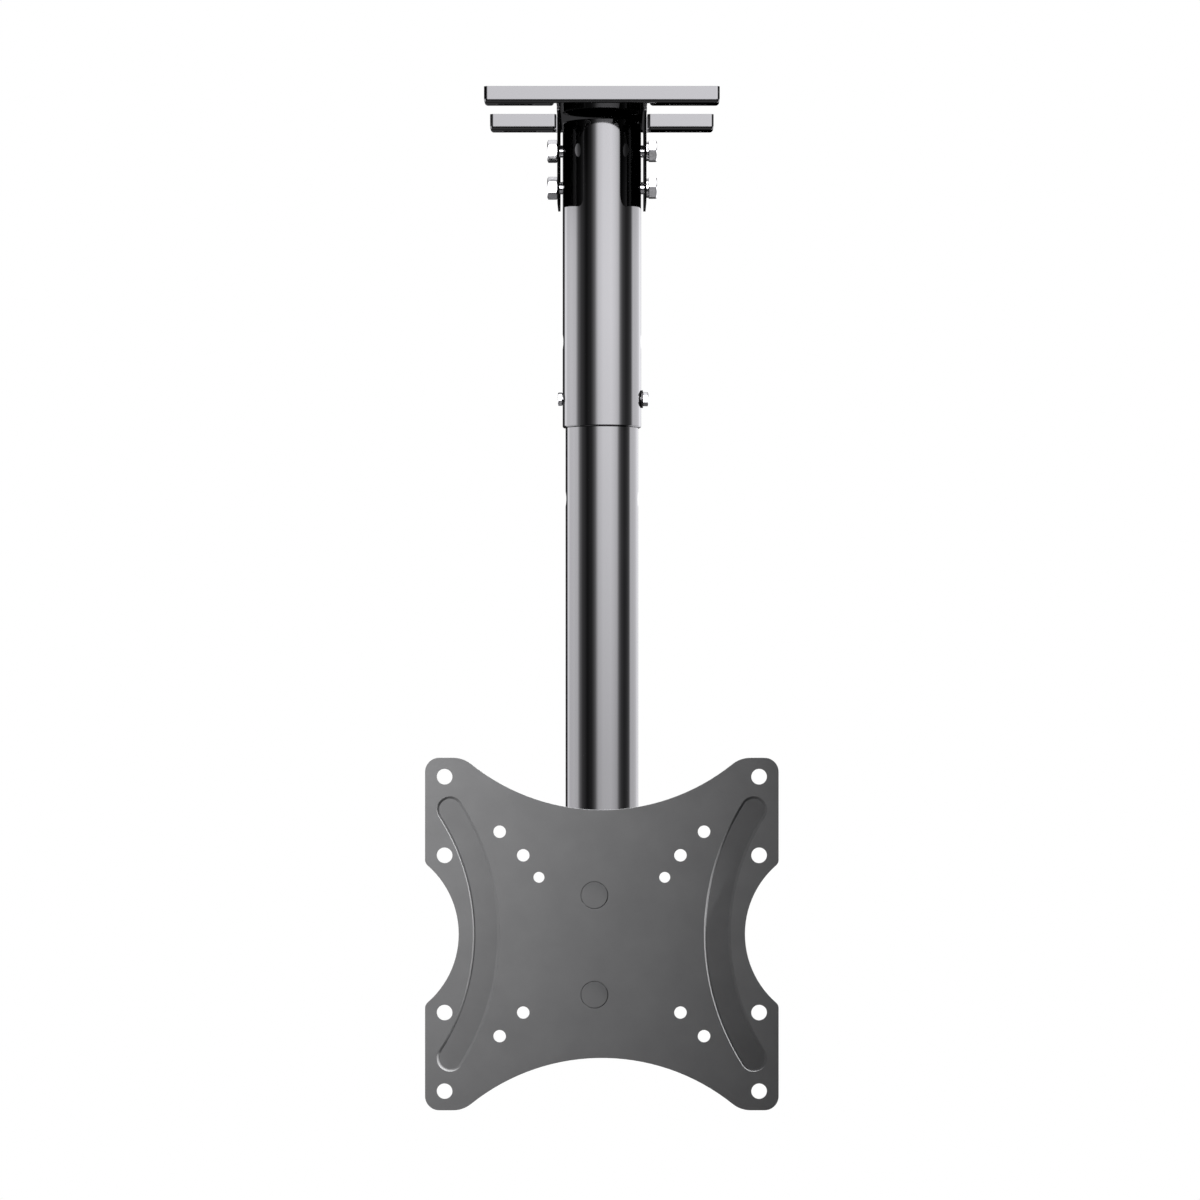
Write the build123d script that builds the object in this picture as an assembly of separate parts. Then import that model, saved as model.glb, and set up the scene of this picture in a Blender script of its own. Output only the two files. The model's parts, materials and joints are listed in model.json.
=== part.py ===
from build123d import *
import os
from math import asin, cos, degrees, radians, sin, sqrt, tan

# Lengths are in millimetres and angles in degrees. The ceiling is the plane z = 0, the pole hangs
# from the origin along -Z, and the TV plate faces -Y.

# Ceiling plate
ceiling_sheet = 1.5
ceiling_width = 150.0
ceiling_depth = 150.0
rail_depth = 18.0
rail_height = 10.45
bend_radius = 2.3
bend_margin = 0.05
slit_width = 1.6
slit_length = 14.0
ceiling_slot_length = 24.0
ceiling_slot_width = 7.0
ceiling_slot_from_end = 20.0

# Ears of the ceiling plate
ear_drop = 58.55
ear_half_width = 34.0
ear_corner_radius = 10.0
ear_root_radius = 10.0
ear_skirt = 2.5
ear_gap = 1.7
cross_bolt_depth = 21.85
cross_bolt_pitch = 24.1
spare_hole_diameter = 9.0

# Poles
outer_pole_diameter = 51.4
outer_pole_wall = 1.5
outer_pole_length = 199.6
pole_rim_radius = 1.2
pole_top_gap = 3.6
pole_gap = 0.4
inner_pole_wall = 1.5
inner_pole_length = 414.0
height_hole_diameter = 10.0
lock_bolt_from_end = 19.0
outer_height_hole_from_lock = 37.5
inner_height_hole_from_lock = 65.5
height_travel = 80.0
inner_pole_top_gap = 5.55

# Fasteners: shank diameter, width across flats, head height, nut height and washer sizes
cross_bolt_diameter = 8.0
cross_flats = 13.0
cross_head_height = 5.3
cross_nut_height = 6.8
cross_washer_thickness = 1.8
spring_washer_width = 2.05
spring_washer_split = 1.5
lock_bolt_diameter = 5.0
lock_flats = 8.0
lock_head_height = 3.5
lock_nut_height = 3.0
lock_nut_turn = 16.0
lock_washer_thickness = 1.2
swivel_bolt_diameter = 10.0
swivel_flats = 16.0
swivel_head_height = 6.4
swivel_nut_height = 9.5
swivel_washer_thickness = 2.0
wide_washer_rim = 1.8
narrow_washer_rim = 0.9
bolt_tip = 1.0
tip_chamfer_share = 0.1
hex_face_share = 0.95
hex_chamfer_angle = 30.0
turning_margin = 0.01
hole_clearance = 0.25
thread_clearance = 0.05
running_clearance = 0.08
face_clearance = 0.1

# Swivel head
end_disc_flange = 3.0
end_disc_spigot = 3.0
spigot_clearance = 0.2
friction_washer_thickness = 1.5
friction_washer_diameter = 36.0
yoke_sheet = 3.0
yoke_half_width = 18.0
yoke_web_half_depth = 22.0
yoke_bend_radius = 4.5
yoke_nose_radius = 8.0
yoke_leg_half_depth = 16.0
yoke_shoulder_drop = 16.0

# Tilt joint
tilt_axis_y = -30.0
tilt_axis_below_disc = 63.2
tilt_up_limit = 5.0
tilt_down_limit = 15.0
tilt_lock_radius = 24.0
tilt_lock_diameter = 6.0
tilt_lock_flats = 10.0
tilt_lock_head_height = 4.0
tilt_lock_nut_height = 5.0
slot_side_clearance = 0.3
slot_end_clearance = 0.6
spacer_thickness = 1.0
bracket_sheet = 2.5
bracket_half_height = 45.0
bracket_bend_radius = 3.5
bracket_flange_depth = 7.0
bracket_pivot_margin = 14.0
bracket_slot_margin = 6.0
bracket_corner_radius = 6.0

# TV plate
plate_side_margin = 12.4
plate_top_margin = 12.05
plate_sheet = 2.0
plate_face_y = -75.0
plate_above_tilt = 7.0
plate_corner_radius = 9.0
top_arc_depth = 33.25
top_edge_past_hole = 12.1
side_arc_depth = 21.4
side_edge_past_hole = 5.0
top_blend_radius = 18.0
side_blend_radius = 4.5
screw_pitch_large = 200.0
screw_pitch_small = 100.0
screw_pitch_middle = 130.0
large_screw_hole = 10.0
small_screw_hole = 8.0
extra_pair_pitch = 80.0
extra_pair_height = 36.0
extra_pair_hole = 7.0

# Pressed arc beads and rivets of the TV plate
bead_end_from_side = 15.9
bead_end_from_top = 33.05
bead_apex_from_arc = 17.6
bead_width = 17.0
bead_depth = 1.6
bead_slope = 43.0
rivet_head_diameter = 17.0
rivet_head_height = 1.0
rivet_head_clearance = 0.3
rivet_head_sink = 0.1
rivet_shank_diameter = 8.0
rivet_tail_diameter = 12.0
rivet_tail_height = 2.0
rivet_edge_share = 0.25
rivet_tail_share = 0.35
rivet_pitch = 63.3
rivet_x = -4.7

# Two corners nearer than this are the same corner
same_place = 0.01

# Places worked out from the sizes above
rail_underside_z = -rail_height
rail_floor_z = rail_underside_z + ceiling_sheet
rail_inner_y = ceiling_depth / 2 - rail_depth
rail_middle_y = ceiling_depth / 2 - rail_depth / 2
outer_pole_radius = outer_pole_diameter / 2
outer_pole_bore = outer_pole_radius - outer_pole_wall
inner_pole_radius = outer_pole_bore - pole_gap
inner_pole_bore = inner_pole_radius - inner_pole_wall
ear_inner_x = outer_pole_radius + ear_gap
ear_outer_x = ear_inner_x + ceiling_sheet
wall_end_x = ear_outer_x + slit_width
ear_bottom_z = rail_underside_z - ear_drop
upper_bolt_z = rail_underside_z - cross_bolt_depth
lower_bolt_z = upper_bolt_z - cross_bolt_pitch
outer_pole_top_z = rail_underside_z - pole_top_gap
outer_pole_bottom_z = outer_pole_top_z - outer_pole_length
lock_bolt_z = outer_pole_bottom_z + lock_bolt_from_end
outer_height_hole_z = lock_bolt_z + outer_height_hole_from_lock
inner_height_hole_z = lock_bolt_z - inner_height_hole_from_lock
inner_pole_top_z = lower_bolt_z - cross_bolt_diameter / 2 - inner_pole_top_gap
inner_pole_bottom_z = inner_pole_top_z - inner_pole_length

disc_top_z = inner_pole_bottom_z + end_disc_spigot
disc_bottom_z = inner_pole_bottom_z - end_disc_flange
friction_washer_bottom_z = disc_bottom_z - friction_washer_thickness
yoke_top_z = friction_washer_bottom_z - face_clearance
yoke_underside_z = yoke_top_z - yoke_sheet
tilt_axis_z = disc_bottom_z - tilt_axis_below_disc
tilt_lock_z = tilt_axis_z - tilt_lock_radius
arm_inner_x = yoke_half_width + spacer_thickness + face_clearance
arm_outer_x = arm_inner_x + bracket_sheet
bracket_front_y = plate_face_y + plate_sheet
bracket_web_back_y = bracket_front_y + bracket_sheet
rivet_face_y = plate_face_y + rivet_head_sink
rivet_seat_y = rivet_face_y + rivet_head_height
plate_centre_z = tilt_axis_z + plate_above_tilt
plate_half_width = screw_pitch_large / 2 + plate_side_margin
plate_half_height = screw_pitch_large / 2 + plate_top_margin
side_arc_apex = plate_half_width - side_arc_depth
slot_half_width = tilt_lock_diameter / 2 + slot_side_clearance


def along_x(outline, start, end):
    """Solid with a YZ outline, from x = start to x = end."""
    return extrude(Plane.YZ.offset(start) * outline, amount=end - start)


def along_y(outline, front, back):
    """Solid with an XZ outline, from y = front to y = back."""
    return extrude(Plane.XZ.offset(-back) * outline, amount=back - front)


def along_z(outline, low, high):
    """Solid with an XY outline, from z = low to z = high."""
    return extrude(Plane.XY.offset(low) * outline, amount=high - low)


def rounded_outline(corners):
    """Closed outline from (x, y, corner radius) triples."""
    points = [(x, y) for x, y, radius in corners]
    radii = [radius for x, y, radius in corners]
    return make_face(FilletPolyline(*points, radius=radii, close=True))


def hexagon_prism(flats, height, chamfered_ends):
    """Hexagon along Z from z = 0, its corners cut back by a cone at the named ends."""
    corner_radius = flats / sqrt(3)
    turned_radius = corner_radius + turning_margin
    radial_cut = turned_radius - hex_face_share * flats / 2
    axial_cut = radial_cut * tan(radians(hex_chamfer_angle))
    prism = along_z(RegularPolygon(radius=corner_radius, side_count=6), 0, height)
    turned = along_z(Circle(turned_radius), 0, height)
    rims = turned.edges().filter_by(GeomType.CIRCLE).sort_by(Axis.Z)
    wanted = [rims[0]] if "low" in chamfered_ends else []
    wanted += [rims[-1]] if "high" in chamfered_ends else []
    turned = chamfer(wanted, length=axial_cut, length2=radial_cut)
    return prism & turned


def hex_bolt(diameter, flats, head_height, length):
    """Bolt along Z with its bearing face at z = 0, head up and shank down."""
    shank = along_z(Circle(diameter / 2), -length, 0)
    shank = chamfer(shank.edges().sort_by(Axis.Z)[0], diameter * tip_chamfer_share)
    return hexagon_prism(flats, head_height, ["high"]) + shank


def hex_nut(diameter, flats, height):
    """Nut along Z from z = 0."""
    bore = along_z(Circle(diameter / 2 + thread_clearance), 0, height)
    return hexagon_prism(flats, height, ["low", "high"]) - bore


def washer(bore_radius, outer_radius, thickness):
    """Washer along Z from z = 0."""
    return along_z(Circle(outer_radius) - Circle(bore_radius), 0, thickness)


def pointing(direction, x, y, z, turn=0.0):
    """Place for a fastener whose own +Z points along direction, turned about itself."""
    tilts = {"+X": (0, 90, 0), "-X": (0, -90, 0), "+Z": (0, 0, 0), "-Z": (180, 0, 0)}
    return Location((x, y, z), tilts[direction]) * Rot(0, 0, turn)


def rail_end(side, middle_y):
    """Shallow pan at one end of a rail, open towards the ceiling, with rounded corners."""
    width = ceiling_width / 2 - wall_end_x
    place = Pos(side * (wall_end_x + width / 2), middle_y)
    outer = along_z(place * RectangleRounded(width, rail_depth, bend_radius), rail_underside_z, 0)
    outer = fillet(outer.edges().group_by(Axis.Z)[0], bend_radius - bend_margin)
    inner_width = width - 2 * ceiling_sheet
    inner_depth = rail_depth - 2 * ceiling_sheet
    inner_radius = bend_radius - ceiling_sheet
    inner_outline = RectangleRounded(inner_width, inner_depth, inner_radius)
    inner = along_z(place * inner_outline, rail_floor_z, 0)
    inner = fillet(inner.edges().group_by(Axis.Z)[0], inner_radius - bend_margin)
    return outer - inner


def rail_middle():
    """Floor and outer wall between the two pans of the rear rail, and the web's tongue."""
    outer_y = ceiling_depth / 2
    tongue_end_y = rail_inner_y + slit_length
    half_length = wall_end_x + bend_radius
    section = rounded_outline([
        (tongue_end_y, rail_underside_z, 0),
        (outer_y, rail_underside_z, bend_radius - bend_margin),
        (outer_y, 0, 0),
        (outer_y - ceiling_sheet, 0, 0),
        (outer_y - ceiling_sheet, rail_floor_z, bend_radius - ceiling_sheet - bend_margin),
        (tongue_end_y, rail_floor_z, 0),
    ])
    tongue = Pos(0, (rail_inner_y + tongue_end_y) / 2) * Rectangle(2 * ear_outer_x, slit_length)
    return (along_x(section, -half_length, half_length)
            + along_z(tongue, rail_underside_z, rail_floor_z))


def ear_channel():
    """Inverted U of web and ears, folded along Y, with the ears cut to their outline."""
    outer_height = rail_floor_z - ear_bottom_z
    inner_height = rail_underside_z - ear_bottom_z
    outer = Rectangle(2 * ear_outer_x, outer_height, align=(Align.CENTER, Align.MIN))
    outer = fillet(outer.vertices().group_by(Axis.Y)[-1], bend_radius)
    inner = Rectangle(2 * ear_inner_x, inner_height, align=(Align.CENTER, Align.MIN))
    inner = fillet(inner.vertices().group_by(Axis.Y)[-1], bend_radius - ceiling_sheet)
    section = Pos(0, ear_bottom_z) * (outer - inner)
    channel = along_y(section, -rail_inner_y, rail_inner_y)
    skirt_z = rail_underside_z - ear_skirt
    outline = rounded_outline([
        (-rail_inner_y, 0, 0),
        (-rail_inner_y, skirt_z, 0),
        (-ear_half_width, skirt_z, ear_root_radius),
        (-ear_half_width, ear_bottom_z, ear_corner_radius),
        (ear_half_width, ear_bottom_z, ear_corner_radius),
        (ear_half_width, skirt_z, ear_root_radius),
        (rail_inner_y, skirt_z, 0),
        (rail_inner_y, 0, 0),
    ])
    return channel & along_x(outline, -ear_outer_x, ear_outer_x)


def make_ceiling_plate():
    """One folded sheet: two rail pans, the web between them and the two ears."""
    rear_rail = rail_end(-1, rail_middle_y) + rail_end(1, rail_middle_y) + rail_middle()
    plate = rear_rail + mirror(rear_rail, Plane.XZ) + ear_channel()
    slot = SlotOverall(ceiling_slot_length, ceiling_slot_width)
    slot_x = ceiling_width / 2 - ceiling_slot_from_end
    for x in (-slot_x, slot_x):
        for y in (-rail_middle_y, rail_middle_y):
            plate -= along_z(Pos(x, y) * slot, -rail_height, 0)
    bolt_hole = Circle(cross_bolt_diameter / 2 + hole_clearance)
    spare_hole = Circle(spare_hole_diameter / 2)
    holes = Pos(0, upper_bolt_z) * bolt_hole + Pos(0, lower_bolt_z) * bolt_hole
    holes += Pos(-cross_bolt_pitch, upper_bolt_z) * spare_hole
    holes += Pos(cross_bolt_pitch, upper_bolt_z) * spare_hole
    return plate - along_x(holes, -ear_outer_x, ear_outer_x)


def make_outer_pole():
    """Upper tube with its cross bolt, lock bolt and spare height holes."""
    tube = along_z(Circle(outer_pole_radius) - Circle(outer_pole_bore),
                   outer_pole_bottom_z, outer_pole_top_z)
    bolt_hole = Circle(cross_bolt_diameter / 2 + hole_clearance)
    holes = Pos(0, upper_bolt_z) * bolt_hole + Pos(0, lower_bolt_z) * bolt_hole
    holes += Pos(0, lock_bolt_z) * Circle(lock_bolt_diameter / 2 + hole_clearance)
    holes += Pos(0, outer_height_hole_z) * Circle(height_hole_diameter / 2)
    rims = tube.edges().filter_by(GeomType.CIRCLE).group_by(Axis.Z)[0]
    tube = fillet(rims.sort_by(SortBy.RADIUS)[-1], pole_rim_radius)
    return tube - along_x(holes, -outer_pole_radius, outer_pole_radius)


def make_inner_pole():
    """Lower tube with two long slots for the lock bolt and a spare height hole."""
    tube = along_z(Circle(inner_pole_radius) - Circle(inner_pole_bore),
                   inner_pole_bottom_z, inner_pole_top_z)
    slot_width = lock_bolt_diameter + 2 * slot_side_clearance
    slot_length = height_travel + slot_width
    slot = Rot(0, 0, 90) * SlotOverall(slot_length, slot_width)
    holes = Pos(0, lock_bolt_z + height_travel / 2) * slot
    holes += Pos(0, inner_height_hole_z) * Circle(height_hole_diameter / 2)
    return tube - along_x(holes, -inner_pole_radius, inner_pole_radius)


def make_cross_fasteners(height_z):
    """Bolt with its head and a split spring washer on the right, and a nut on the left."""
    bore = cross_bolt_diameter / 2 + hole_clearance
    rim = bore + spring_washer_width
    head_x = ear_outer_x + cross_washer_thickness
    length = head_x + ear_outer_x + cross_nut_height - bolt_tip
    bolt = hex_bolt(cross_bolt_diameter, cross_flats, cross_head_height, length)
    split = Pos(0, rim) * Rectangle(spring_washer_split, 2 * rim)
    spring_washer = washer(bore, rim, cross_washer_thickness)
    spring_washer -= along_z(split, 0, cross_washer_thickness)
    nut = hex_nut(cross_bolt_diameter, cross_flats, cross_nut_height)
    return (pointing("+X", head_x, 0, height_z, 30) * bolt,
            pointing("+X", ear_outer_x, 0, height_z) * spring_washer,
            pointing("-X", -ear_outer_x, 0, height_z) * nut)


def make_lock_fasteners():
    """Height lock: bolt and washer on the right of the outer pole, thin nut on the left."""
    seat_x = outer_pole_radius
    head_x = seat_x + lock_washer_thickness
    length = head_x + seat_x + lock_nut_height
    bolt = hex_bolt(lock_bolt_diameter, lock_flats, lock_head_height, length)
    bore = lock_bolt_diameter / 2 + hole_clearance
    lock_washer = washer(bore, lock_flats / 2 + wide_washer_rim, lock_washer_thickness)
    nut = hex_nut(lock_bolt_diameter, lock_flats, lock_nut_height)
    return (pointing("+X", head_x, 0, lock_bolt_z) * bolt,
            pointing("+X", seat_x, 0, lock_bolt_z) * lock_washer,
            pointing("-X", -seat_x, 0, lock_bolt_z, lock_nut_turn) * nut)


def make_end_disc():
    """Turned disc welded into the lower end of the inner pole."""
    spigot = Circle(inner_pole_bore - spigot_clearance)
    disc = along_z(Circle(inner_pole_radius), disc_bottom_z, inner_pole_bottom_z)
    disc += along_z(spigot, inner_pole_bottom_z, disc_top_z)
    bore = Circle(swivel_bolt_diameter / 2 + hole_clearance)
    return disc - along_z(bore, disc_bottom_z, disc_top_z)


def make_swivel_fasteners():
    """Bolt hanging in the end disc, with its washers and the nut under the yoke."""
    bore = swivel_bolt_diameter / 2 + hole_clearance
    rim = swivel_flats / 2 + wide_washer_rim
    head_z = disc_top_z + swivel_washer_thickness
    lower_washer_z = yoke_underside_z - face_clearance - swivel_washer_thickness
    tip_z = lower_washer_z - swivel_nut_height - bolt_tip
    bolt = hex_bolt(swivel_bolt_diameter, swivel_flats, swivel_head_height, head_z - tip_z)
    plain_washer = washer(bore, rim, swivel_washer_thickness)
    nut = hex_nut(swivel_bolt_diameter, swivel_flats, swivel_nut_height)
    return (Pos(0, 0, head_z) * bolt,
            Pos(0, 0, disc_top_z) * plain_washer,
            Pos(0, 0, lower_washer_z) * plain_washer,
            pointing("-Z", 0, 0, lower_washer_z) * nut)


def make_friction_washer():
    """Plastic ring between the end disc and the yoke."""
    ring = washer(swivel_bolt_diameter / 2 + hole_clearance, friction_washer_diameter / 2,
                  friction_washer_thickness)
    return Pos(0, 0, friction_washer_bottom_z) * ring


def folded_channel(half_width, depth, sheet, radius):
    """Section of a U: web along x at y = 0, legs down to y = -depth."""
    outer = Rectangle(2 * half_width, depth, align=(Align.CENTER, Align.MAX))
    outer = fillet(outer.vertices().group_by(Axis.Y)[-1], radius)
    inner = Rectangle(2 * (half_width - sheet), depth, align=(Align.CENTER, Align.MAX))
    inner = fillet(inner.vertices().group_by(Axis.Y)[-1], radius - sheet)
    return outer - Pos(0, -sheet) * inner


def make_yoke():
    """Folded inverted U under the pole, its legs reaching forward to the tilt bolt."""
    nose_front = tilt_axis_y - yoke_leg_half_depth
    nose_back = tilt_axis_y + yoke_leg_half_depth
    foot_z = tilt_lock_z - tilt_lock_diameter / 2 - yoke_nose_radius
    height = yoke_top_z - foot_z
    section = Pos(0, yoke_top_z) * folded_channel(yoke_half_width, height, yoke_sheet,
                                                  yoke_bend_radius)
    channel = along_y(section, nose_front, yoke_web_half_depth)
    shoulder_z = yoke_underside_z - yoke_shoulder_drop
    outline = rounded_outline([
        (-yoke_web_half_depth, yoke_top_z, 0),
        (-yoke_web_half_depth, shoulder_z, yoke_nose_radius),
        (nose_front, tilt_axis_z + yoke_nose_radius, yoke_nose_radius),
        (nose_front, foot_z, yoke_nose_radius),
        (nose_back, foot_z, yoke_nose_radius),
        (nose_back, tilt_axis_z, yoke_nose_radius),
        (yoke_web_half_depth, shoulder_z, yoke_nose_radius),
        (yoke_web_half_depth, yoke_top_z, 0),
    ])
    yoke = channel & along_x(outline, -yoke_half_width, yoke_half_width)
    bore = Circle(swivel_bolt_diameter / 2 + running_clearance)
    yoke -= along_z(bore, yoke_underside_z, yoke_top_z)
    holes = Pos(tilt_axis_y, tilt_axis_z) * Circle(cross_bolt_diameter / 2 + hole_clearance)
    holes += Pos(tilt_axis_y, tilt_lock_z) * Circle(tilt_lock_diameter / 2 + hole_clearance)
    return yoke - along_x(holes, -yoke_half_width, yoke_half_width)


def tilt_lock_slot():
    """Arc slot about the tilt bolt, in the YZ plane."""
    end_angle = degrees(slot_end_clearance / tilt_lock_radius)
    start_angle = 270 - tilt_down_limit - end_angle
    arc_size = tilt_down_limit + tilt_up_limit + 2 * end_angle
    arc = CenterArc((tilt_axis_y, tilt_axis_z), tilt_lock_radius, start_angle, arc_size)
    return SlotArc(arc, 2 * slot_half_width)


def make_tilt_bracket():
    """Folded channel behind the TV plate, with a pivot hole and an arc slot in each arm."""
    slot_reach = tilt_lock_radius + slot_half_width + bracket_slot_margin
    arm_back_y = tilt_axis_y + bracket_pivot_margin
    depth = arm_back_y - bracket_front_y
    section = folded_channel(arm_outer_x, depth, bracket_sheet, bracket_bend_radius)
    section = Pos(0, -bracket_front_y) * section
    low_z = tilt_axis_z - bracket_half_height
    high_z = tilt_axis_z + bracket_half_height
    channel = along_z(Plane.XY * mirror(section, Plane.XZ), low_z, high_z)
    pivot_top_z = tilt_axis_z + bracket_pivot_margin
    flange_y = bracket_front_y + bracket_flange_depth
    outline = rounded_outline([
        (bracket_front_y, low_z, 0),
        (flange_y, low_z, bracket_corner_radius),
        (tilt_axis_y - slot_reach / 2, tilt_axis_z - slot_reach, bracket_corner_radius),
        (arm_back_y, tilt_axis_z - slot_reach, bracket_corner_radius),
        (arm_back_y, pivot_top_z, bracket_corner_radius),
        (tilt_axis_y - bracket_pivot_margin / 2, pivot_top_z, bracket_corner_radius),
        (flange_y, high_z, bracket_corner_radius),
        (bracket_front_y, high_z, 0),
    ])
    bracket = channel & along_x(outline, -arm_outer_x, arm_outer_x)
    pivot = Pos(tilt_axis_y, tilt_axis_z) * Circle(cross_bolt_diameter / 2 + running_clearance)
    bracket -= along_x(pivot, -arm_outer_x, arm_outer_x)
    bracket -= along_x(tilt_lock_slot(), -arm_outer_x, arm_outer_x)
    rivet_hole = Circle(rivet_shank_diameter / 2)
    for rivet_z in rivet_heights():
        hole = Pos(rivet_x, rivet_z) * rivet_hole
        bracket -= along_y(hole, bracket_front_y, bracket_web_back_y)
    return bracket


def make_tilt_fasteners():
    """Tilt bolt through yoke and bracket, with spacers, washers and its nut."""
    seat_x = arm_outer_x + face_clearance
    washer_rim_radius = cross_flats / 2 + narrow_washer_rim
    head_x = seat_x + cross_washer_thickness
    length = 2 * head_x + cross_nut_height + bolt_tip
    bolt = hex_bolt(cross_bolt_diameter, cross_flats, cross_head_height, length)
    bore = cross_bolt_diameter / 2 + hole_clearance
    plain_washer = washer(bore, washer_rim_radius, cross_washer_thickness)
    spacer = washer(bore, washer_rim_radius, spacer_thickness)
    nut = hex_nut(cross_bolt_diameter, cross_flats, cross_nut_height)
    place = (tilt_axis_y, tilt_axis_z)
    return (pointing("+X", head_x, *place) * bolt,
            pointing("+X", seat_x, *place) * plain_washer,
            pointing("-X", -seat_x, *place) * plain_washer,
            pointing("-X", -head_x, *place) * nut,
            pointing("+X", yoke_half_width, *place) * spacer,
            pointing("-X", -yoke_half_width, *place) * spacer)


def make_tilt_lock_fasteners():
    """Lock bolt through the yoke and the arc slots, with washers and its nut."""
    seat_x = arm_outer_x + face_clearance
    head_x = seat_x + lock_washer_thickness
    length = 2 * head_x + tilt_lock_nut_height + bolt_tip
    bolt = hex_bolt(tilt_lock_diameter, tilt_lock_flats, tilt_lock_head_height, length)
    bore = tilt_lock_diameter / 2 + hole_clearance
    plain_washer = washer(bore, tilt_lock_flats / 2 + narrow_washer_rim, lock_washer_thickness)
    nut = hex_nut(tilt_lock_diameter, tilt_lock_flats, tilt_lock_nut_height)
    place = (tilt_axis_y, tilt_lock_z)
    return (pointing("+X", head_x, *place) * bolt,
            pointing("+X", seat_x, *place) * plain_washer,
            pointing("-X", -seat_x, *place) * plain_washer,
            pointing("-X", -head_x, *place) * nut)


def rivet_heights():
    """Heights of the two rivets, one above and one below the tilt bolt."""
    return (tilt_axis_z + rivet_pitch / 2, tilt_axis_z - rivet_pitch / 2)


def corners_at(outline, x, y):
    """Corners of an outline at (x, y) and at its mirror places."""
    return outline.vertices().filter_by(
        lambda v: abs(abs(v.X) - x) < same_place and abs(abs(v.Y) - y) < same_place)


def radius_through(half_chord, depth):
    """Radius of the arc with this half chord and this depth at its middle."""
    return (half_chord ** 2 + depth ** 2) / (2 * depth)


def plate_outline():
    """Square with arcs cut into its four sides between the screw holes, about its own middle."""
    outline = Rectangle(2 * plate_half_width, 2 * plate_half_height)
    top_meets_x = screw_pitch_large / 2 - top_edge_past_hole
    side_meets_y = screw_pitch_small / 2 - side_edge_past_hole
    top_radius = radius_through(top_meets_x, top_arc_depth)
    side_radius = radius_through(side_meets_y, side_arc_depth)
    top_centre = plate_half_height - top_arc_depth + top_radius
    side_centre = side_arc_apex + side_radius
    for side in (-1, 1):
        outline -= Pos(0, side * top_centre) * Circle(top_radius)
        outline -= Pos(side * side_centre, 0) * Circle(side_radius)
    outline = fillet(corners_at(outline, plate_half_width, plate_half_height), plate_corner_radius)
    outline = fillet(corners_at(outline, top_meets_x, plate_half_height), top_blend_radius)
    return fillet(corners_at(outline, plate_half_width, side_meets_y), side_blend_radius)


def bead_outline(width):
    """Arc slot of one bead, on the right of the plate's middle."""
    end_x = plate_half_width - bead_end_from_side
    end_y = plate_half_height - bead_end_from_top
    apex_x = side_arc_apex - bead_apex_from_arc
    radius = radius_through(end_y, end_x - apex_x)
    half_angle = degrees(asin(end_y / radius))
    arc = CenterArc((apex_x + radius, 0), radius, 180 - half_angle, 2 * half_angle)
    return SlotArc(arc, width)


def pressed_bead(width):
    """Tapered block of one bead: full width at y = 0, narrower at y = bead_depth."""
    return extrude(Plane.XZ * bead_outline(width), amount=-bead_depth, taper=bead_slope)


def screw_holes():
    """All screw holes of the TV plate, about its own middle."""
    patterns = [
        (screw_pitch_large, screw_pitch_large, large_screw_hole),
        (screw_pitch_large, screw_pitch_small, large_screw_hole),
        (screw_pitch_middle, screw_pitch_middle, small_screw_hole),
        (screw_pitch_small, screw_pitch_small, small_screw_hole),
    ]
    holes = [place * Circle(diameter / 2) for pitch_x, pitch_z, diameter in patterns
             for place in GridLocations(pitch_x, pitch_z, 2, 2)]
    for x in (-extra_pair_pitch / 2, extra_pair_pitch / 2):
        holes.append(Pos(x, extra_pair_height) * Circle(extra_pair_hole / 2))
    return Sketch() + holes


def make_tv_plate():
    """Pressed sheet with four lobes, two arc beads and its screw holes."""
    back_y = plate_face_y + plate_sheet
    middle = Pos(0, plate_centre_z)
    plate = along_y(middle * plate_outline(), plate_face_y, back_y)
    slope = radians(bead_slope)
    wall_shift = plate_sheet * (1 - sin(slope)) / cos(slope)
    back_width = bead_width + 2 * wall_shift
    front_place = Pos(0, plate_face_y, plate_centre_z)
    back_place = Pos(0, back_y, plate_centre_z)
    for turn in (0, 180):
        plate += back_place * Rot(0, turn, 0) * pressed_bead(back_width)
    for turn in (0, 180):
        plate -= front_place * Rot(0, turn, 0) * pressed_bead(bead_width)
    plate -= along_y(middle * screw_holes(), plate_face_y, back_y)
    rivet_hole = Circle(rivet_shank_diameter / 2)
    head_recess = Circle(rivet_head_diameter / 2 + rivet_head_clearance)
    for rivet_z in rivet_heights():
        centre = Pos(rivet_x, rivet_z)
        plate -= along_y(centre * rivet_hole, plate_face_y, back_y)
        plate -= along_y(centre * head_recess, plate_face_y, rivet_seat_y)
    return plate


def make_rivet(rivet_z):
    """Flat-headed rivet through the TV plate and the tilt bracket, its head in a recess."""
    centre = Pos(rivet_x, rivet_z)
    head = along_y(centre * Circle(rivet_head_diameter / 2), rivet_face_y, rivet_seat_y)
    head = chamfer(head.edges().sort_by(Axis.Y)[0], rivet_head_height * rivet_edge_share)
    shank = along_y(centre * Circle(rivet_shank_diameter / 2), rivet_seat_y, bracket_web_back_y)
    tail = along_y(centre * Circle(rivet_tail_diameter / 2),
                   bracket_web_back_y, bracket_web_back_y + rivet_tail_height)
    tail = chamfer(tail.edges().sort_by(Axis.Y)[-1], rivet_tail_height * rivet_tail_share)
    return head + shank + tail


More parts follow.
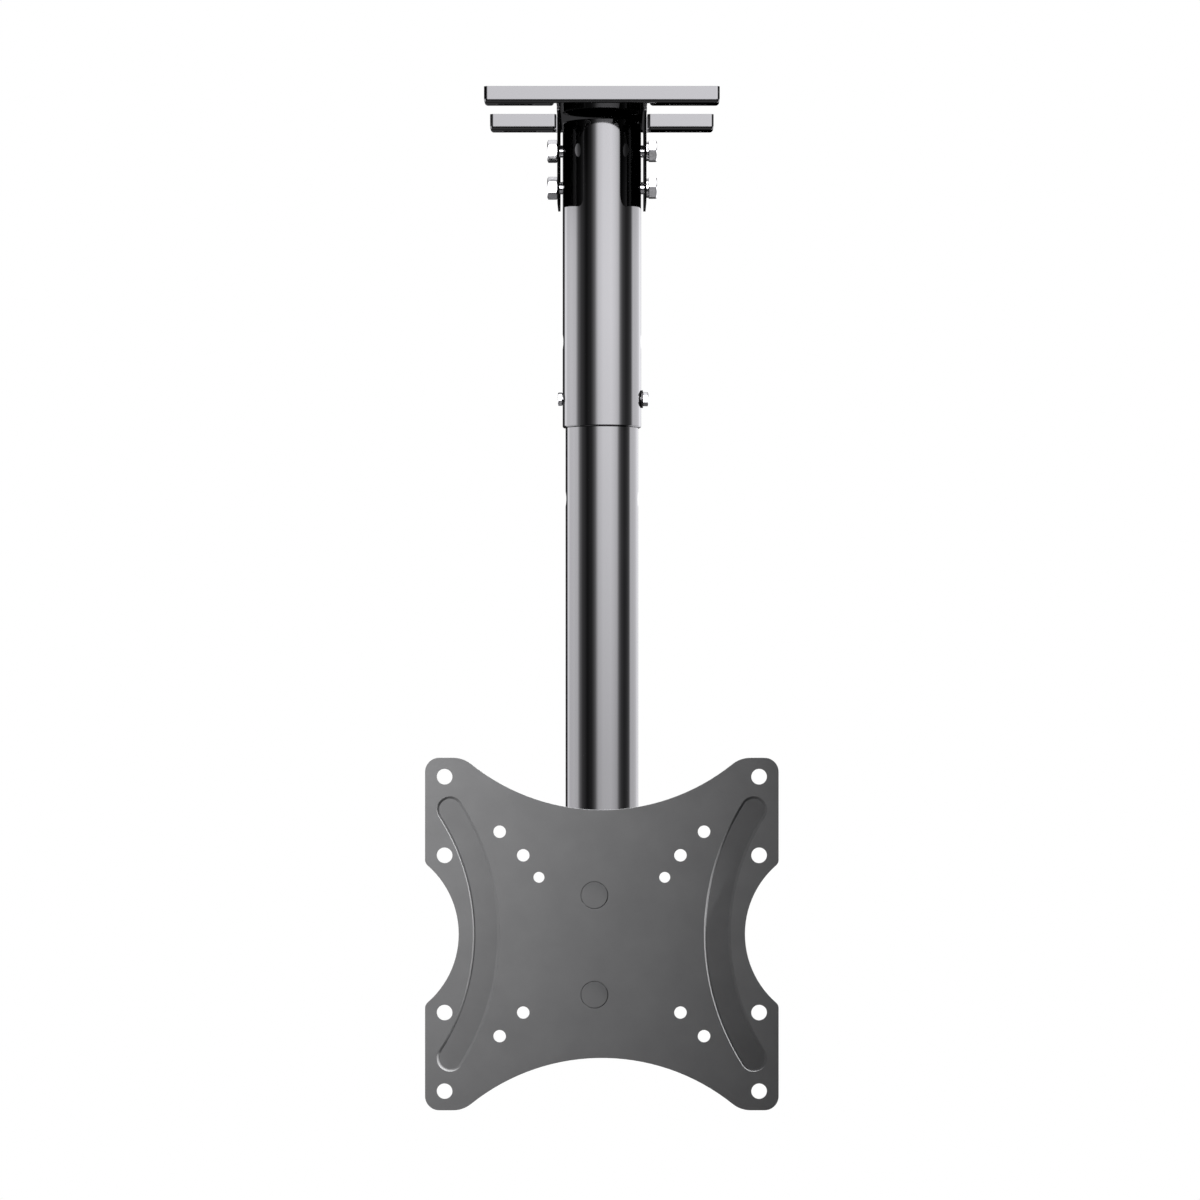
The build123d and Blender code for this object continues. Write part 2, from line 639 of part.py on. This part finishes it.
def all_nodes():
    """Every sub-part by its node name."""
    nodes = {
        "ceiling_plate": make_ceiling_plate(),
        "outer_pole": make_outer_pole(),
        "inner_pole": make_inner_pole(),
        "pole_end_disc": make_end_disc(),
        "friction_washer": make_friction_washer(),
        "yoke": make_yoke(),
        "tilt_bracket": make_tilt_bracket(),
        "tv_plate": make_tv_plate(),
    }
    for name, height_z in (("upper", upper_bolt_z), ("lower", lower_bolt_z)):
        bolt, spring_washer, nut = make_cross_fasteners(height_z)
        nodes[f"cross_bolt_{name}"] = bolt
        nodes[f"cross_bolt_washer_{name}"] = spring_washer
        nodes[f"cross_bolt_nut_{name}"] = nut
    groups = {
        ("height_lock_bolt", "height_lock_washer", "height_lock_nut"): make_lock_fasteners(),
        ("swivel_bolt", "swivel_bolt_washer", "swivel_nut_washer", "swivel_nut"):
            make_swivel_fasteners(),
        ("tilt_bolt", "tilt_washer_right", "tilt_washer_left", "tilt_nut",
         "tilt_spacer_right", "tilt_spacer_left"): make_tilt_fasteners(),
        ("tilt_lock_bolt", "tilt_lock_washer_right", "tilt_lock_washer_left",
         "tilt_lock_nut"): make_tilt_lock_fasteners(),
    }
    for names, solids in groups.items():
        nodes.update(zip(names, solids))
    for name, rivet_z in zip(("upper", "lower"), rivet_heights()):
        nodes[f"plate_rivet_{name}"] = make_rivet(rivet_z)
    return nodes


os.makedirs("parts", exist_ok=True)
for node, shape in all_nodes().items():
    export_step(shape, f"parts/{node}.step")
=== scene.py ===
"""A TV ceiling mount in a plain white studio: camera, light, finishes, rounded edges and a weld."""

import json
import math

import bmesh
import bpy
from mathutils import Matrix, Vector


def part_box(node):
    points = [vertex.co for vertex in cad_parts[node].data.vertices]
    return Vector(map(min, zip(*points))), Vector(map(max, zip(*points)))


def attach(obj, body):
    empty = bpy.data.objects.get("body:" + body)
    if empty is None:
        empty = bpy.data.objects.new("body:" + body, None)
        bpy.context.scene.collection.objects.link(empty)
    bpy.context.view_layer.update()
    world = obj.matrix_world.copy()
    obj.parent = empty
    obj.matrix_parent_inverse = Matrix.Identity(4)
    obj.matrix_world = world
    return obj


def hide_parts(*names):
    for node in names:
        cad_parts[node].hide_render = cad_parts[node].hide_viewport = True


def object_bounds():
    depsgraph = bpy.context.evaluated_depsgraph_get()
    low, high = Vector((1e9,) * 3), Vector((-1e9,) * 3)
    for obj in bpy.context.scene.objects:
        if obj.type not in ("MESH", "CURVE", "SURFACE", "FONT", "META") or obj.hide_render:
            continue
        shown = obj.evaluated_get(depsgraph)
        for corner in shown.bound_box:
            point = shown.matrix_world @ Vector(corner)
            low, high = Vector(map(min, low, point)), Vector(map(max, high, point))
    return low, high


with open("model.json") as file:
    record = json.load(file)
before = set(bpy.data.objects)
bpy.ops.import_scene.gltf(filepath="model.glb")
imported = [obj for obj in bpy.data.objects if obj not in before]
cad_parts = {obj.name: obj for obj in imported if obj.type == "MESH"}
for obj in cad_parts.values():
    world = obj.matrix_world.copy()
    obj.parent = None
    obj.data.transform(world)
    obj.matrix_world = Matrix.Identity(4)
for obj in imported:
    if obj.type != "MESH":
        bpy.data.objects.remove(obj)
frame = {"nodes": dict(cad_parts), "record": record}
cad_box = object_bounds()

MILLIMETRE = 0.001
MICROMETRE = 0.000001

# Camera, from the perspective of the two rails and the spacing of the TV plate's holes
IMAGE_SIZE = 1200
SENSOR_WIDTH = 36.0
FOCAL_PIXELS = 3814.5
CAMERA_DISTANCE = 2.5
CAMERA_Z = -0.3446
CENTRE_COLUMN = 601.85
HORIZON_ROW = 628.0
VIEW_LIMIT = 50.0

# The studio that the glossy paint reflects. Each panel has a level, its share of that level by
# azimuth (0 is the camera's side, 90 is +X) and its share by elevation, in degrees
SIDE_ELEVATIONS = [(-42, 0.0), (-36, 0.7), (-2, 0.82), (4, 1.0), (6.2, 1.0), (7.6, 0.0)]
STUDIO_PANELS = {
    "front softbox": (
        6.5,
        [(-44, 0.0), (-32, 0.02), (-26, 0.08), (-20, 0.21), (-14, 0.6), (-10, 0.8), (4, 0.97),
         (28, 1.0), (40, 0.87), (49, 0.7), (53, 0.4), (57, 0.16), (64, 0.05), (76, 0.01), (84, 0.0)],
        [(-8.5, 0.0), (-6.5, 0.5), (-2, 0.62), (1, 0.8), (5, 1.0), (34, 1.0), (50, 0.35)],
    ),
    "left softbox": (
        4.3,
        [(-144, 0.0), (-139, 0.55), (-134, 0.84), (-122, 0.72), (-100, 0.98),
         (-84, 0.97), (-79, 0.62), (-74, 0.26), (-64, 0.07), (-48, 0.0)],
        SIDE_ELEVATIONS,
    ),
    "right softbox": (
        3.7,
        [(74, 0.02), (84, 0.05), (95, 0.13), (100, 0.55), (104, 0.97), (122, 0.83), (134, 0.75),
         (153, 0.77), (165, 0.4), (171, 0.0)],
        SIDE_ELEVATIONS,
    ),
    "overhead front": (
        2.4,
        [(-75, 0.0), (-60, 1.0), (60, 1.0), (75, 0.0)],
        [(50, 0.0), (58, 1.0), (76, 1.0), (83, 0.05)],
    ),
    "overhead back": (
        1.2,
        [(-112, 1.0), (-104, 0.0), (104, 0.0), (112, 1.0)],
        [(40, 0.0), (46, 1.0), (62, 1.0), (70, 0.05)],
    ),
    "low front strip": (
        0.45,
        [(-80, 0.0), (-60, 1.0), (60, 1.0), (80, 0.0)],
        [(-64, 0.0), (-58, 1.0), (-50, 1.0), (-44, 0.0)],
    ),
    "floor": (
        0.25,
        [(-180, 1.0), (180, 1.0)],
        [(-90, 1.0), (-66, 1.0), (-56, 0.0)],
    ),
}
PANEL_TINT = (0.965, 0.955, 1.0)

# Even light from all round that diffuse rays find
SURROUNDINGS_LEVEL = 0.12

# Lamps: places, targets and sizes in metres, cones in degrees, powers in watts
SPOT_LAMPS = {
    "key": {"place": (-0.5, -0.9, 0.0), "target": (-0.33, -0.075, -0.36), "cone": 54, "power": 98.0},
    "rim": {"place": (0.9, -0.112, 0.9), "target": (0.0, -0.075, -0.54), "cone": 20, "power": 950.0},
}
BACK_LAMP = {"place": (0.25, 0.9, -0.1), "target": (0.0, 0.0, -0.5), "size": 0.6, "power": 8.0}
SPOT_RADIUS = 0.03

FLOOR_DROP = 1.5
FLOOR_SIZE = 6.0
FLOOR_GREY = 0.8
FLOOR_ROUGHNESS = 0.9

# The part of its range that a noise texture's values mostly fill
NOISE_LOW = 0.3
NOISE_HIGH = 0.7

# Cosine of the angle between the rounded and the flat normal, where the painted edge shade starts and
# is full
PAINTED_EDGE_SHADE_START = 0.985
PAINTED_EDGE_SHADE_FULL = 0.9
BEVEL_SAMPLES = 6

# Sheared edges of the ceiling plate's ears: faces between these limits, turned away from X
EAR_INNER_X = 0.0273
EAR_OUTER_X = 0.0290
EAR_TOP_Z = -0.0125
EDGE_FACE_LIMIT = 0.7

# Weld under the inner pole: a ring with ripples, and a slower wander round it
WELD_STEPS = 288
WELD_CORNERS = 10
WELD_RADIUS = 0.0011
WELD_WIDTH = 0.0017
WELD_SINK = 0.0005
RIPPLES = 48
RIPPLE_SHARE = 0.16
WANDERS = 5
WANDER_SHARE = 0.06
WANDER_START = 1.0


def set_camera():
    """Level camera on the object's front, shifted as the photograph's frame is."""
    data = bpy.data.cameras.new("camera")
    data.sensor_width = SENSOR_WIDTH
    data.lens = SENSOR_WIDTH * FOCAL_PIXELS / IMAGE_SIZE
    data.shift_x = (IMAGE_SIZE / 2 - CENTRE_COLUMN) / IMAGE_SIZE
    data.shift_y = (HORIZON_ROW - IMAGE_SIZE / 2) / IMAGE_SIZE
    data.clip_end = VIEW_LIMIT
    camera = bpy.data.objects.new("camera", data)
    camera.location = (0.0, -CAMERA_DISTANCE, CAMERA_Z)
    camera.rotation_euler = (math.radians(90), 0.0, 0.0)
    bpy.context.collection.objects.link(camera)
    bpy.context.scene.camera = camera


def math_node(tree, operation, *values):
    """Math node with numbers or sockets as its inputs."""
    node = tree.nodes.new("ShaderNodeMath")
    node.operation = operation
    for socket, value in zip(node.inputs, values):
        if isinstance(value, (int, float)):
            socket.default_value = value
        else:
            tree.links.new(value, socket)
    return node.outputs[0]


def mixed(tree, factor, first, second):
    """Mix of two numbers or sockets."""
    node = tree.nodes.new("ShaderNodeMix")
    for name, value in (("Factor", factor), ("A", first), ("B", second)):
        if isinstance(value, (int, float)):
            node.inputs[name].default_value = value
        else:
            tree.links.new(value, node.inputs[name])
    return node.outputs["Result"]


def angle_ramp(tree, value, full_range, stops):
    """Grey ramp through (angle, level) stops, over a full range of degrees with 0 in its middle."""
    node = tree.nodes.new("ShaderNodeValToRGB")
    elements = node.color_ramp.elements
    while len(elements) < len(stops):
        elements.new(0.5)
    for element, (angle, level) in zip(elements, stops):
        element.position = angle / full_range + 0.5
        element.color = (level, level, level, 1.0)
    tree.links.new(value, node.inputs["Fac"])
    return node.outputs["Color"]


def set_world():
    """White surroundings, with the softboxes of a product studio in the reflections.

    Glossy rays see the panels, diffuse rays a low even level, and camera and transmission rays white.
    """
    world = bpy.data.worlds.new("studio")
    bpy.context.scene.world = world
    world.use_nodes = True
    tree = world.node_tree
    direction = tree.nodes.new("ShaderNodeTexCoord").outputs["Generated"]
    parts = tree.nodes.new("ShaderNodeSeparateXYZ")
    tree.links.new(direction, parts.inputs[0])
    towards_camera = math_node(tree, "MULTIPLY", parts.outputs["Y"], -1.0)
    azimuth = math_node(tree, "ARCTAN2", parts.outputs["X"], towards_camera)
    turn = math_node(tree, "MULTIPLY_ADD", azimuth, 1 / math.tau, 0.5)
    elevation = math_node(tree, "ARCSINE", parts.outputs["Z"])
    height = math_node(tree, "MULTIPLY_ADD", elevation, 1 / math.pi, 0.5)
    panels = 0.0
    for level, azimuth_stops, elevation_stops in STUDIO_PANELS.values():
        across = angle_ramp(tree, turn, 360, azimuth_stops)
        upward = angle_ramp(tree, height, 180, elevation_stops)
        share = math_node(tree, "MULTIPLY", across, upward)
        panels = math_node(tree, "MULTIPLY_ADD", share, level, panels)
    path = tree.nodes.new("ShaderNodeLightPath").outputs
    seen = mixed(tree, path["Is Glossy Ray"], SURROUNDINGS_LEVEL, panels)
    clear = math_node(tree, "MAXIMUM", path["Is Camera Ray"], path["Is Transmission Ray"])
    tint = tree.nodes.new("ShaderNodeVectorMath")
    tint.operation = "MULTIPLY_ADD"
    tree.links.new(path["Is Glossy Ray"], tint.inputs[0])
    tint.inputs[1].default_value = [share - 1 for share in PANEL_TINT]
    tint.inputs[2].default_value = (1.0, 1.0, 1.0)
    background = tree.nodes["Background"]
    tree.links.new(tint.outputs["Vector"], background.inputs["Color"])
    tree.links.new(mixed(tree, clear, seen, 1.0), background.inputs["Strength"])


def place_lamp(data, place, target, power):
    """Aimed lamp that lights the satin surfaces and stays out of the reflections."""
    data.energy = power
    lamp = bpy.data.objects.new(data.name, data)
    lamp.location = place
    lamp.rotation_euler = (Vector(target) - Vector(place)).to_track_quat("-Z", "Y").to_euler()
    lamp.visible_glossy = False
    lamp.visible_camera = False
    bpy.context.collection.objects.link(lamp)


def spot_lamp(name, place, target, cone, power):
    """Round lamp whose light fades from its middle to the edge of its cone."""
    data = bpy.data.lights.new(name, "SPOT")
    data.shadow_soft_size = SPOT_RADIUS
    data.spot_size = math.radians(cone)
    data.spot_blend = 1.0
    place_lamp(data, place, target, power)


def area_lamp(name, place, target, size, power):
    """Square lamp."""
    data = bpy.data.lights.new(name, "AREA")
    data.shape = "SQUARE"
    data.size = size
    place_lamp(data, place, target, power)


def set_lamps():
    """Key on the plate's upper left, rim along its face from the upper right, and a lamp behind."""
    for name, values in SPOT_LAMPS.items():
        spot_lamp(name, **values)
    area_lamp("back lamp", **BACK_LAMP)


def set_floor():
    """Plain pale floor well under the plate, out of the camera's sight and out of the reflections."""
    bpy.ops.mesh.primitive_plane_add(size=FLOOR_SIZE, location=(0.0, 0.0, cad_box[0][2] - FLOOR_DROP))
    floor = bpy.context.object
    floor.name = "studio_floor"
    material = bpy.data.materials.new("studio_floor")
    material.use_nodes = True
    pale = material.node_tree.nodes["Principled BSDF"]
    pale.inputs["Base Color"].default_value = (FLOOR_GREY, FLOOR_GREY, FLOOR_GREY, 1.0)
    pale.inputs["Roughness"].default_value = FLOOR_ROUGHNESS
    floor.data.materials.append(material)
    floor.visible_glossy = False
    floor.visible_camera = False


def new_finish(name, metallic=0.0, ior=1.5, specular=0.5):
    """Material with its constant values set on the shader's own sockets."""
    material = bpy.data.materials.new(name)
    material.use_nodes = True
    shader = material.node_tree.nodes["Principled BSDF"]
    shader.inputs["Metallic"].default_value = metallic
    shader.inputs["IOR"].default_value = ior
    shader.inputs["Specular IOR Level"].default_value = specular
    return material, material.node_tree, shader


def noise_node(tree, scale, detail=2.0, roughness=0.5, stretch=(1.0, 1.0, 1.0)):
    """Noise over the object's own coordinates, in cycles to a metre."""
    place = tree.nodes.new("ShaderNodeTexCoord").outputs["Object"]
    mapping = tree.nodes.new("ShaderNodeMapping")
    mapping.inputs["Scale"].default_value = stretch
    tree.links.new(place, mapping.inputs["Vector"])
    node = tree.nodes.new("ShaderNodeTexNoise")
    node.inputs["Scale"].default_value = scale
    node.inputs["Detail"].default_value = detail
    node.inputs["Roughness"].default_value = roughness
    tree.links.new(mapping.outputs["Vector"], node.inputs["Vector"])
    return node.outputs["Fac"]


def spread(tree, value, low, high):
    """Noise value spread between low and high."""
    node = tree.nodes.new("ShaderNodeMapRange")
    node.inputs["From Min"].default_value = NOISE_LOW
    node.inputs["From Max"].default_value = NOISE_HIGH
    node.inputs["To Min"].default_value = low
    node.inputs["To Max"].default_value = high
    tree.links.new(value, node.inputs["Value"])
    return node.outputs["Result"]


def tint_between(tree, value, dark, light):
    """Colour between two tones, by a noise value."""
    node = tree.nodes.new("ShaderNodeValToRGB")
    elements = node.color_ramp.elements
    elements[0].position = NOISE_LOW
    elements[1].position = NOISE_HIGH
    elements[0].color = (*dark, 1.0)
    elements[1].color = (*light, 1.0)
    tree.links.new(value, node.inputs["Fac"])
    return node.outputs["Color"]


def rounded_edges(tree, radius):
    """Normal that turns smoothly over sharp edges, within a radius in metres."""
    node = tree.nodes.new("ShaderNodeBevel")
    node.samples = BEVEL_SAMPLES
    node.inputs["Radius"].default_value = radius
    return node.outputs["Normal"]


def painted_edge_shade(tree, colour, radius, shade):
    """Painted shade: colour made darker by a share along sharp edges, fading within a radius in
    metres, as dark outlines standing in for shade and dark reflections there.
    """
    alike = tree.nodes.new("ShaderNodeVectorMath")
    alike.operation = "DOT_PRODUCT"
    tree.links.new(rounded_edges(tree, radius), alike.inputs[0])
    tree.links.new(tree.nodes.new("ShaderNodeNewGeometry").outputs["Normal"], alike.inputs[1])
    edges = tree.nodes.new("ShaderNodeMapRange")
    edges.inputs["From Min"].default_value = PAINTED_EDGE_SHADE_START
    edges.inputs["From Max"].default_value = PAINTED_EDGE_SHADE_FULL
    tree.links.new(alike.outputs["Value"], edges.inputs["Value"])
    shaded = tree.nodes.new("ShaderNodeVectorMath")
    shaded.operation = "SCALE"
    tree.links.new(colour, shaded.inputs[0])
    brightness = math_node(tree, "MULTIPLY_ADD", edges.outputs["Result"], -shade, 1.0)
    tree.links.new(brightness, shaded.inputs["Scale"])
    return shaded.outputs["Vector"]


def surface_normal(tree, edge_radius, *layers):
    """Normal over rounded edges, under bump from (height, distance in metres) layers."""
    normal = rounded_edges(tree, edge_radius)
    for height, distance in layers:
        bump = tree.nodes.new("ShaderNodeBump")
        bump.inputs["Distance"].default_value = distance
        tree.links.new(height, bump.inputs["Height"])
        tree.links.new(normal, bump.inputs["Normal"])
        normal = bump.outputs["Normal"]
    return normal


def connect(tree, shader, colour, roughness, normal):
    """Colour, roughness and normal joined to a finish's shader."""
    tree.links.new(colour, shader.inputs["Base Color"])
    tree.links.new(roughness, shader.inputs["Roughness"])
    tree.links.new(normal, shader.inputs["Normal"])


def gloss_black():
    """Smooth black powder coat: deep, mirror-like, with faint orange peel and hazy spots."""
    material, tree, shader = new_finish("gloss_black", ior=1.9)
    clouds = noise_node(tree, scale=30.0, detail=4.0)
    colour = tint_between(tree, clouds, dark=(0.0006, 0.0006, 0.0007), light=(0.0012, 0.0012, 0.0013))
    haze = noise_node(tree, scale=90.0, detail=5.0, roughness=0.65)
    peel = noise_node(tree, scale=260.0, detail=1.0)
    normal = surface_normal(tree, 0.3 * MILLIMETRE, (peel, 1.2 * MICROMETRE))
    connect(tree, shader, colour, spread(tree, haze, low=0.03, high=0.06), normal)
    return material


def satin_grey():
    """Dark grey powder coat with a fine grain."""
    material, tree, shader = new_finish("satin_grey", specular=0.04)
    clouds = noise_node(tree, scale=45.0, detail=5.0, roughness=0.6)
    colour = tint_between(tree, clouds, dark=(0.113, 0.113, 0.115), light=(0.126, 0.126, 0.128))
    patches = noise_node(tree, scale=120.0, detail=3.0)
    grain = noise_node(tree, scale=2600.0, detail=2.0)
    swell = noise_node(tree, scale=700.0, detail=1.0)
    normal = surface_normal(tree, 0.3 * MILLIMETRE, (grain, 8 * MICROMETRE), (swell, 8 * MICROMETRE))
    connect(tree, shader, colour, spread(tree, patches, low=0.46, high=0.56), normal)
    return material


def bright_zinc():
    """Blue-white zinc plating over cold-headed steel, with drawn marks, cloudy spots and painted shade
    along its sharp edges.
    """
    material, tree, shader = new_finish("bright_zinc", metallic=1.0)
    clouds = noise_node(tree, scale=220.0, detail=5.0, roughness=0.65)
    colour = tint_between(tree, clouds, dark=(0.64, 0.64, 0.63), light=(0.78, 0.785, 0.79))
    # Painted shade: dark lines along the sharp edges of heads and nuts, standing in for shade and dark
    # reflections
    colour = painted_edge_shade(tree, colour, 1.3 * MILLIMETRE, shade=0.75)
    spots = noise_node(tree, scale=600.0, detail=4.0)
    marks = noise_node(tree, scale=400.0, detail=3.0, stretch=(12.0, 1.0, 1.0))
    normal = surface_normal(tree, 0.6 * MILLIMETRE, (marks, 4 * MICROMETRE))
    connect(tree, shader, colour, spread(tree, spots, low=0.14, high=0.28), normal)
    return material


def dark_steel():
    """Oil-blackened washer steel."""
    material, tree, shader = new_finish("dark_steel", metallic=1.0)
    clouds = noise_node(tree, scale=300.0, detail=5.0, roughness=0.7)
    colour = tint_between(tree, clouds, dark=(0.04, 0.04, 0.042), light=(0.085, 0.082, 0.08))
    spots = noise_node(tree, scale=900.0, detail=3.0)
    grain = noise_node(tree, scale=1500.0, detail=2.0)
    normal = surface_normal(tree, 0.2 * MILLIMETRE, (grain, 10 * MICROMETRE))
    connect(tree, shader, colour, spread(tree, spots, low=0.3, high=0.5), normal)
    return material


def black_plastic():
    """Matt moulded nylon."""
    material, tree, shader = new_finish("black_plastic")
    clouds = noise_node(tree, scale=150.0, detail=4.0)
    colour = tint_between(tree, clouds, dark=(0.022, 0.022, 0.023), light=(0.034, 0.034, 0.034))
    patches = noise_node(tree, scale=700.0, detail=3.0)
    grain = noise_node(tree, scale=1800.0, detail=2.0)
    normal = surface_normal(tree, 0.2 * MILLIMETRE, (grain, 15 * MICROMETRE))
    connect(tree, shader, colour, spread(tree, patches, low=0.42, high=0.6), normal)
    return material


def cut_edge():
    """Matt near-black with little gloss, given to the sheet edges of the ceiling plate's ears."""
    material, tree, shader = new_finish("cut_edge", specular=0.05)
    clouds = noise_node(tree, scale=500.0, detail=4.0)
    colour = tint_between(tree, clouds, dark=(0.004, 0.004, 0.004), light=(0.012, 0.012, 0.012))
    patches = noise_node(tree, scale=1200.0)
    drag = noise_node(tree, scale=1600.0, stretch=(0.1, 1.0, 1.0))
    normal = surface_normal(tree, 0.3 * MILLIMETRE, (drag, 20 * MICROMETRE))
    connect(tree, shader, colour, spread(tree, patches, low=0.68, high=0.82), normal)
    return material


def set_finishes():
    """One finish for each material slot of the record, and one for the sheared edges."""
    finishes = {make.__name__: make() for make in (
        gloss_black, satin_grey, bright_zinc, dark_steel, black_plastic, cut_edge)}
    for part in frame["record"]["subparts"]:
        node = frame["nodes"][part["node"]]
        node.data.materials.clear()
        node.data.materials.append(finishes[part["material_slot"]])
    return finishes


def add_folded_plate(finishes):
    """Copy of the ceiling plate, in its place, whose ears show their sheared edges."""
    mesh = frame["nodes"]["ceiling_plate"].data.copy()
    piece = bpy.data.objects.new("folded_ceiling_plate", mesh)
    bpy.context.collection.objects.link(piece)
    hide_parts("ceiling_plate")
    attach(piece, "ceiling_bracket")
    mesh.materials.append(finishes["cut_edge"])
    for face in mesh.polygons:
        on_ear = EAR_INNER_X < abs(face.center.x) < EAR_OUTER_X and face.center.z < EAR_TOP_Z
        if on_ear and abs(face.normal.x) < EDGE_FACE_LIMIT:
            face.material_index = 1


def add_weld(finishes):
    """Rippled weld between the inner pole and its end disc."""
    disc_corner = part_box("pole_end_disc")[1]
    pole_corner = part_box("inner_pole")[0]
    radius = disc_corner[0]
    seam_z = pole_corner[2]
    rings = []
    shape = bmesh.new()
    for step in range(WELD_STEPS):
        turn = math.tau * step / WELD_STEPS
        wander = WANDER_SHARE * math.sin(WANDERS * turn + WANDER_START)
        thickness = 1 + RIPPLE_SHARE * math.sin(RIPPLES * turn) + wander
        ring = []
        for corner in range(WELD_CORNERS):
            around = math.tau * corner / WELD_CORNERS
            out = radius - WELD_SINK + WELD_RADIUS * thickness * math.cos(around)
            height = seam_z + WELD_WIDTH * thickness * math.sin(around)
            ring.append(shape.verts.new((out * math.cos(turn), out * math.sin(turn), height)))
        rings.append(ring)
    for ring, following in zip(rings, rings[1:] + rings[:1]):
        for corner in range(WELD_CORNERS):
            beside = (corner + 1) % WELD_CORNERS
            shape.faces.new((ring[corner], following[corner], following[beside], ring[beside]))
    bmesh.ops.recalc_face_normals(shape, faces=shape.faces)
    mesh = bpy.data.meshes.new("pole_weld")
    shape.to_mesh(mesh)
    shape.free()
    mesh.shade_smooth()
    weld = bpy.data.objects.new("pole_weld", mesh)
    bpy.context.collection.objects.link(weld)
    mesh.materials.append(finishes["gloss_black"])
    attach(weld, "pole_slider")


set_camera()
set_world()
set_floor()
finishes = set_finishes()
add_folded_plate(finishes)
add_weld(finishes)
set_lamps()

# The photograph's glossy poles don't mirror the TV plate
frame["nodes"]["tv_plate"].visible_glossy = False

bpy.context.scene.view_settings.view_transform = "Standard"
